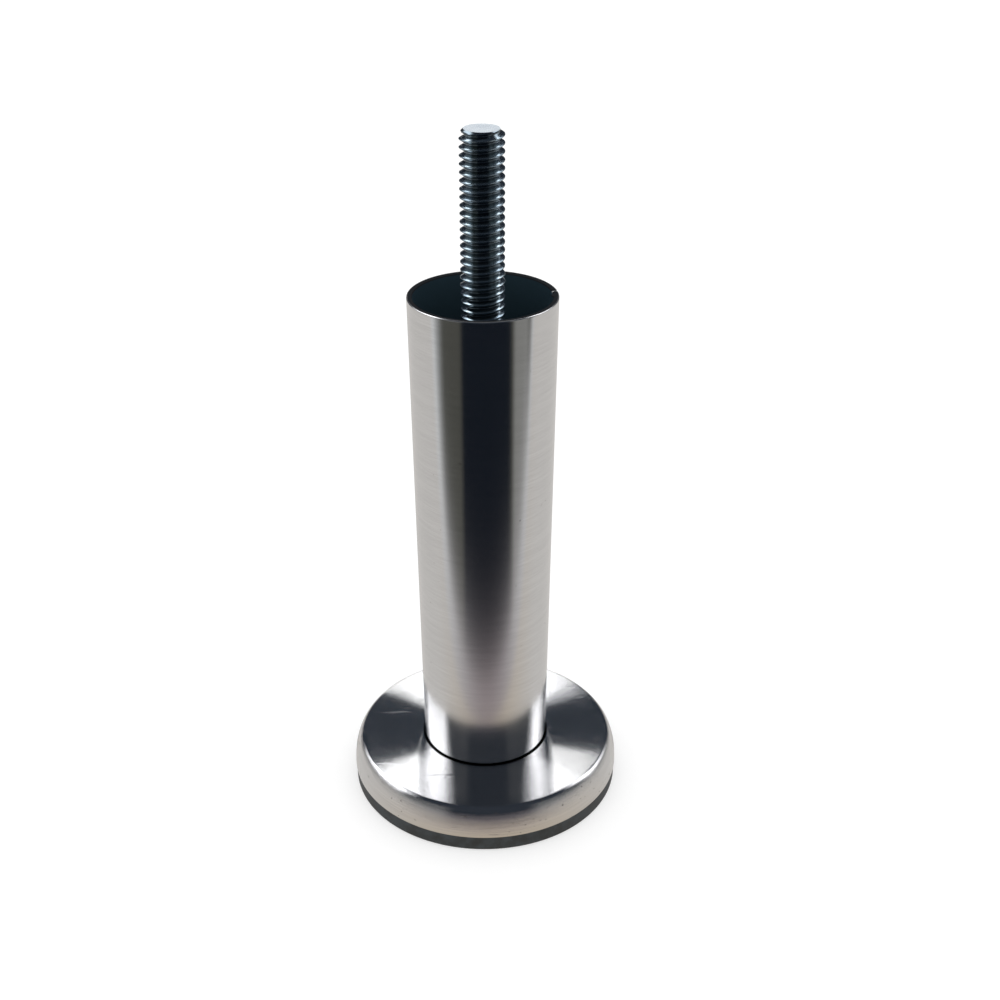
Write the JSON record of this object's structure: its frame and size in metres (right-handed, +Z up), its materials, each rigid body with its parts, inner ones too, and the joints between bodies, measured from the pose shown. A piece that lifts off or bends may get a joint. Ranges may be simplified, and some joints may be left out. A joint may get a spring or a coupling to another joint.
{
  "type": "furniture leg",
  "caption": "Screw-in furniture leg: a tapered brushed steel sleeve on a round covered foot with a dark pad, and a long threaded bolt standing up from its open top.",
  "frame": {"origin": "on the floor under the middle of the foot", "axes": "+Z up along the bolt, towards the furniture; +X towards the sleeve's welded seam"},
  "size_m": [0.0528, 0.0528, 0.131],
  "materials": {
    "brushed_sleeve": "fine brushing around the tube",
    "brushed_cover": "circular brushing",
    "pad": "matt moulded",
    "zinc_plate": "bright bluish zinc plate"
  },
  "bodies": {
    "root": {"tube": "brushed_sleeve", "base_cover": "brushed_cover", "base_pad": "pad", "bolt": "zinc_plate", "flat_washer": "zinc_plate", "lock_washer": "zinc_plate", "clamp_nut": "zinc_plate"}
  },
  "joints": []
}
